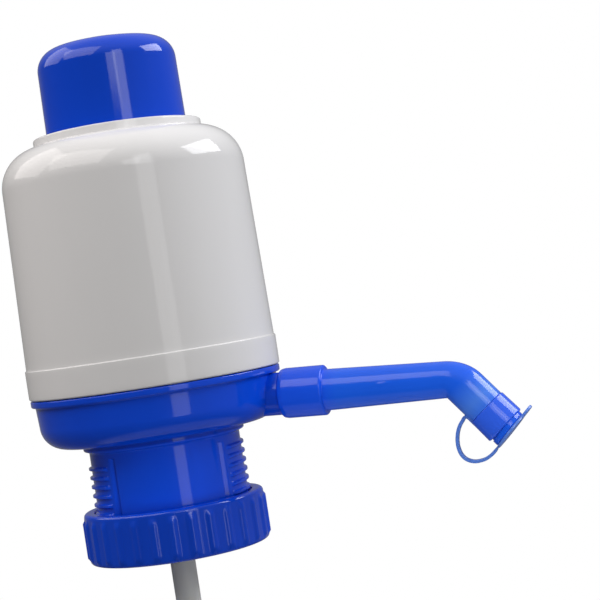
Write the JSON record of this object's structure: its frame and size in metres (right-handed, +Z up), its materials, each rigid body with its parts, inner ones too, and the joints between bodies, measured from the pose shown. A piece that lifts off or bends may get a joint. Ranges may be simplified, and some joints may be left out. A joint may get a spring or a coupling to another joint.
{
  "type": "manual bottle water pump",
  "caption": "Hand press pump that clamps on a water bottle's neck: round body over a bellows, press button, side spout with tethered cap and a dip tube.",
  "frame": {"origin": "centre of the gasket face that seats on the bottle's mouth", "axes": "+Z up the pump's axis away from the bottle, +X out along the spout, +Y across"},
  "size_m": [0.197, 0.1, 0.4087],
  "materials": {
    "blue_plastic": "gloss",
    "white_plastic": "gloss",
    "natural_plastic": "satin",
    "silicone": "matte",
    "steel": "drawn wire"
  },
  "bodies": {
    "base": {"base_bowl": "blue_plastic", "neck_collet": "blue_plastic", "neck_gasket": "silicone", "water_elbow": "natural_plastic", "tube_holder": "natural_plastic", "dip_tube_upper": "natural_plastic", "tube_coupling": "natural_plastic", "dip_tube_lower": "natural_plastic", "foot_strainer": "natural_plastic", "valve_plate": "natural_plastic", "plenum_seal": "silicone", "bellows": "natural_plastic", "bellows_clamp": "natural_plastic", "return_spring": "steel", "guide_bush": "natural_plastic", "outer_shell": "white_plastic", "spout_o_ring": "silicone"},
    "button": {"push_button": "blue_plastic", "pusher_plate": "natural_plastic"},
    "inlet_flap": {"inlet_valve": "silicone"},
    "outlet_flap": {"outlet_valve": "silicone"},
    "spout": {"spout_tube": "blue_plastic", "cap_strap": "blue_plastic"},
    "cap": {"spout_cap": "blue_plastic"},
    "clamp": {"clamp_cone": "natural_plastic"},
    "ring": {"lock_ring": "blue_plastic"}
  },
  "joints": [
    {"name": "pump_press", "type": "slide", "parent": "base", "child": "button", "axis": [0, 0, 1], "range_m": [-0.03, 0], "stiffness_N_per_m": 300, "springref_m": 0.02, "deforming": ["bellows", "return_spring"]},
    {"name": "inlet_valve_lift", "type": "slide", "parent": "button", "child": "inlet_flap", "axis": [0, 0, 1], "range_m": [-0.0015, 0], "stiffness_N_per_m": 20, "springref_m": 0.0006},
    {"name": "outlet_valve_lift", "type": "slide", "parent": "base", "child": "outlet_flap", "axis": [0, 0, 1], "range_m": [-0.0015, 0], "stiffness_N_per_m": 20, "springref_m": 0.0006},
    {"name": "spout_swivel", "type": "hinge", "parent": "base", "child": "spout", "pos_m": [0.05993, 0, 0.01017], "axis": [0.9988, 0, -0.0489], "continuous": true},
    {"name": "cap_swing", "type": "hinge", "parent": "spout", "child": "cap", "pos_m": [0.13164, 0, -0.02078], "axis": [0, 1, 0], "range_deg": [0, 110]},
    {"name": "clamp_rise", "type": "slide", "parent": "base", "child": "clamp", "axis": [0, 0, 1], "range_m": [0, 0.00721]},
    {"name": "ring_turn", "type": "hinge", "parent": "clamp", "child": "ring", "pos_m": [0, 0, -0.035], "axis": [0, 0, 1], "range_deg": [0, 720]}
  ],
  "couplings": [
    {"joint": "clamp_rise", "follows": "ring_turn", "m_per_rad": 0.00057296}
  ]
}
